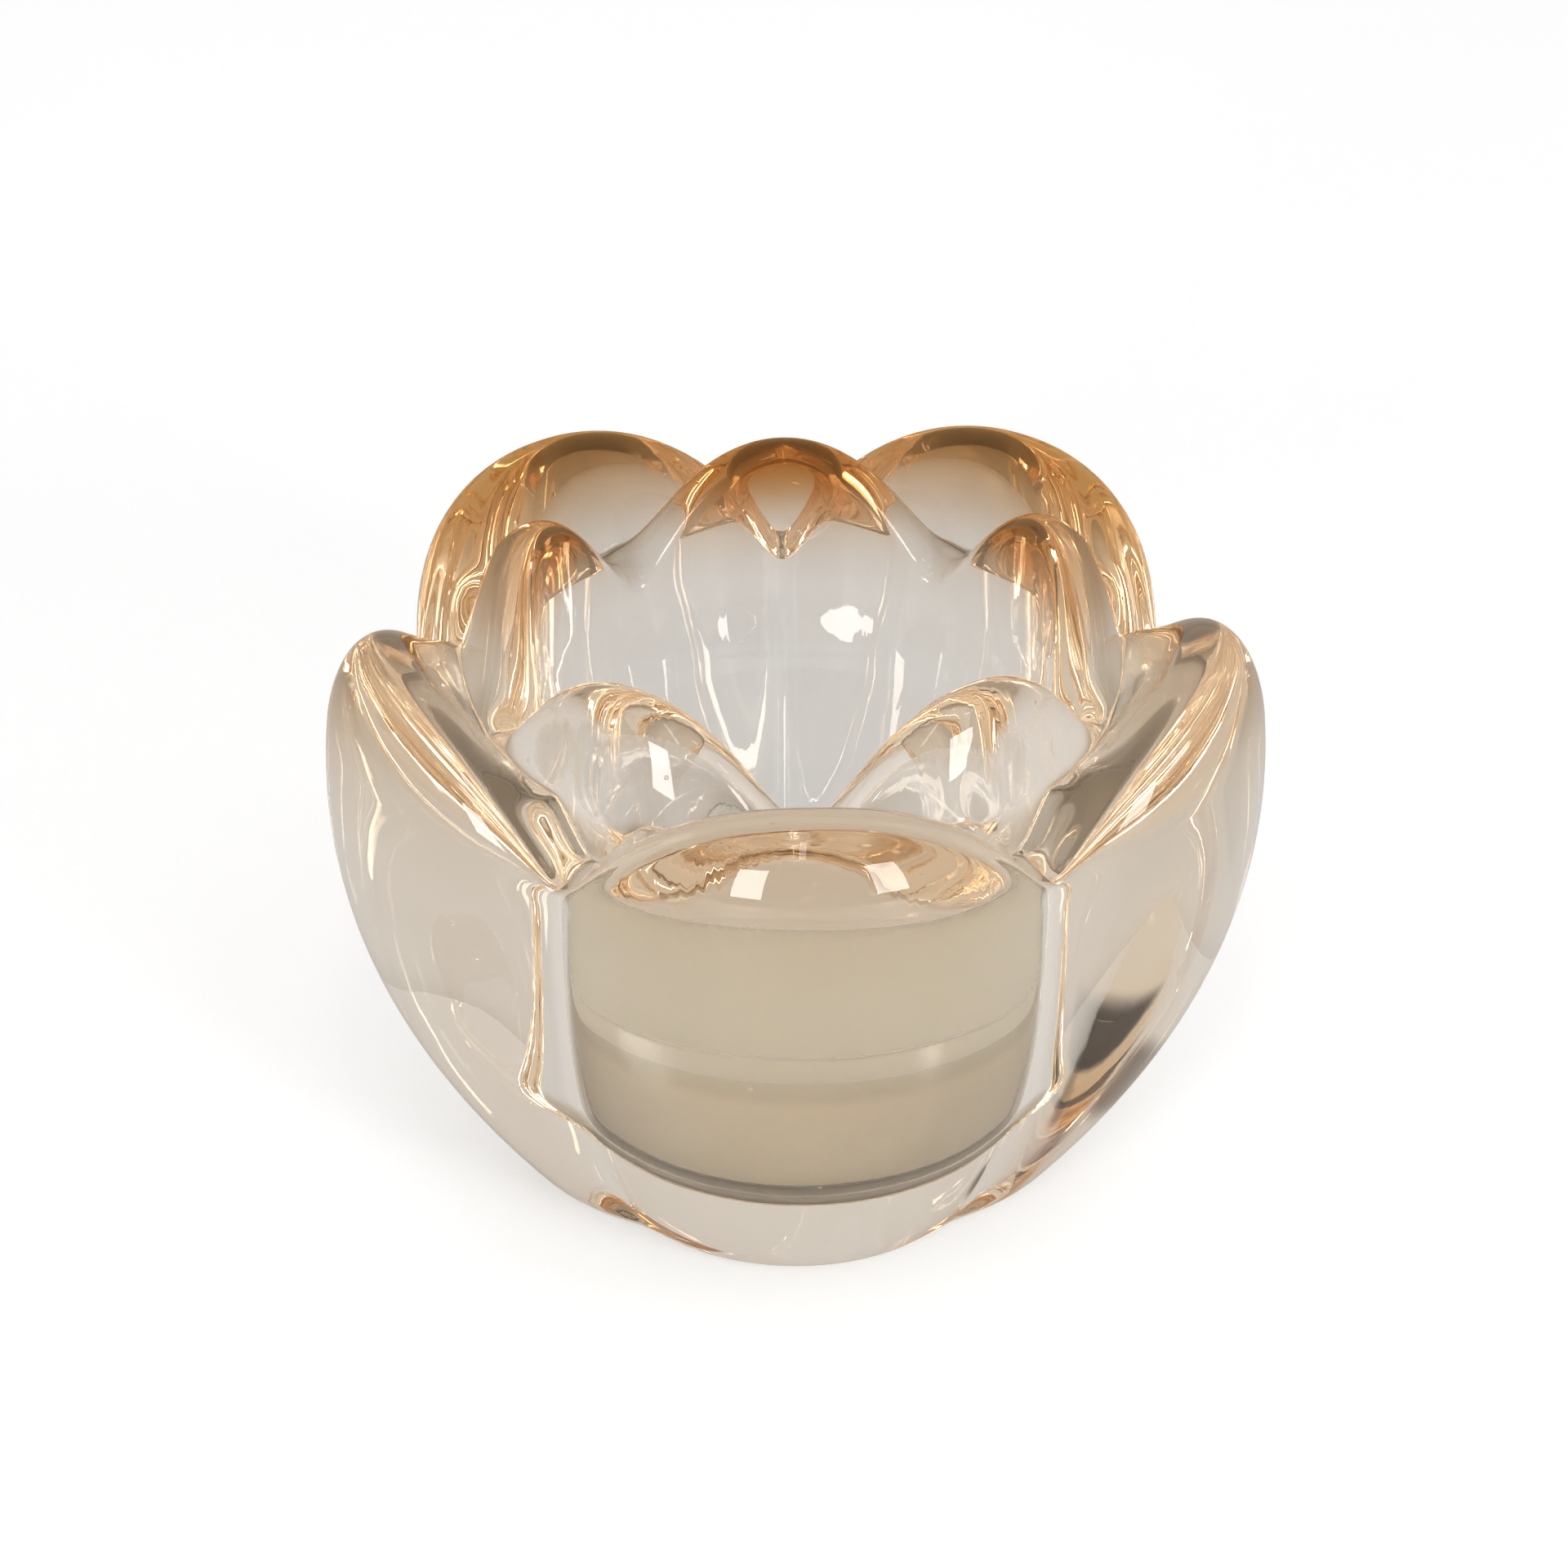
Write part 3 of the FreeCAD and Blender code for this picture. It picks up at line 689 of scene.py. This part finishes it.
def floor_looks(tree):
    """Pale matt sheet, white to the camera; for every other ray it carries a painted shadow, darker and
    warmer, close to the glass.
    """
    reach = make(tree, "VectorMath", operation="LENGTH")
    tree.links.new(position(tree), reach.inputs[0])
    # painted shadow: a darker, warmer sheet within about 50 to 105 mm of the glass's middle
    clear_of_shadow = ramp(tree, reach.outputs["Value"], 0.050, 0.105)
    sheet = blended(tree, clear_of_shadow, (0.68, 0.62, 0.54), (0.78, 0.77, 0.76))
    seen = make(tree, "LightPath").outputs["Is Camera Ray"]
    return {"Base Color": blended(tree, seen, sheet, (0.9, 0.9, 0.9)), "Roughness": 0.6,
            "Emission Color": WHITE, "Emission Strength": maths(tree, "MULTIPLY", seen, 0.28)}


def build_floor():
    mesh = bpy.data.meshes.new("studio_floor")
    corners = [(-FLOOR_HALF, -FLOOR_HALF, 0), (FLOOR_HALF, -FLOOR_HALF, 0),
               (FLOOR_HALF, FLOOR_HALF, 0), (-FLOOR_HALF, FLOOR_HALF, 0)]
    mesh.from_pydata(corners, [], [(0, 1, 2, 3)])
    mesh.materials.append(material("pale_floor", floor_looks))
    obj = bpy.data.objects.new("studio_floor", mesh)
    bpy.context.scene.collection.objects.link(obj)
    obj.location.z = cad_low.z - FLOOR_GAP


def studio_world(base, patches):
    """Even studio surround with soft darker or lighter patches, white where the camera sees it.

    Each patch is (turn, rise, half angle at full strength, half angle where it ends, colour).
    """
    world = bpy.data.worlds.new("studio")
    bpy.context.scene.world = world
    world.use_nodes = True
    tree = world.node_tree
    ray = make(tree, "TexCoord").outputs["Generated"]
    colour = base
    for turn, rise, full, edge, shade in patches:
        towards = make(tree, "VectorMath", operation="DOT_PRODUCT")
        feed(tree, towards.inputs[0], ray)
        feed(tree, towards.inputs[1], heading(turn, rise))
        share = ramp(tree, towards.outputs["Value"],
                     math.cos(math.radians(edge)), math.cos(math.radians(full)))
        colour = blended(tree, share, colour, shade)
    surround = tree.nodes["Background"]
    feed(tree, surround.inputs["Color"], colour)
    feed(tree, surround.inputs["Strength"], 1.0)
    white = fed(tree, "Background", {"Color": WHITE})
    pick = make(tree, "MixShader")
    feed(tree, pick.inputs[0], make(tree, "LightPath").outputs["Is Camera Ray"])
    feed(tree, pick.inputs[1], surround.outputs[0])
    feed(tree, pick.inputs[2], white.outputs[0])
    feed(tree, tree.nodes["World Output"].inputs["Surface"], pick.outputs[0])


build_floor()
studio_world((0.68, 0.68, 0.68), (
    (-117, 51, 3, 8, (0.02, 0.02, 0.025)),
    (-76, 25, 5, 10, (0.05, 0.05, 0.06)),
    (-43, 16, 3, 7, (0.05, 0.05, 0.06)),
    (129, 56, 1.5, 3, (5, 5, 5)),
    (120, 40, 1.5, 3, (5, 5, 5)),
))
softbox("key_left", -153.5, 14, 0.8, 0.20, 0.36, 2.6)
softbox("key_right", 143.0, 16, 0.8, 0.22, 0.38, 2.9)
softbox("overhead", -177, 55, 0.9, 0.05, 0.45, 0.3)

# ------------------------------------------------------------------ camera
look = heading(CAMERA_TURN, -CAMERA_TILT)
lens = bpy.data.cameras.new("camera")
lens.sensor_width = SENSOR_WIDTH
lens.lens = SENSOR_WIDTH * LENS_TO_SENSOR
lens.shift_x, lens.shift_y = CAMERA_SHIFT
camera = bpy.data.objects.new("camera", lens)
bpy.context.scene.collection.objects.link(camera)
camera.location = Vector((0, 0, cad_low.z)) - look * CAMERA_REACH
level = look.to_track_quat("-Z", "Y")
roll = Matrix.Rotation(math.radians(CAMERA_ROLL), 3, "Z").to_quaternion()
camera.rotation_mode = "QUATERNION"
camera.rotation_quaternion = level @ roll
bpy.context.scene.camera = camera

bpy.context.scene.view_settings.view_transform = "Standard"
bpy.context.scene.cycles.max_bounces = GLASS_BOUNCES
bpy.context.scene.cycles.transmission_bounces = GLASS_BOUNCES
bpy.context.scene.cycles.transparent_max_bounces = GLASS_BOUNCES
bpy.context.scene.cycles.glossy_bounces = GLASS_BOUNCES // 2
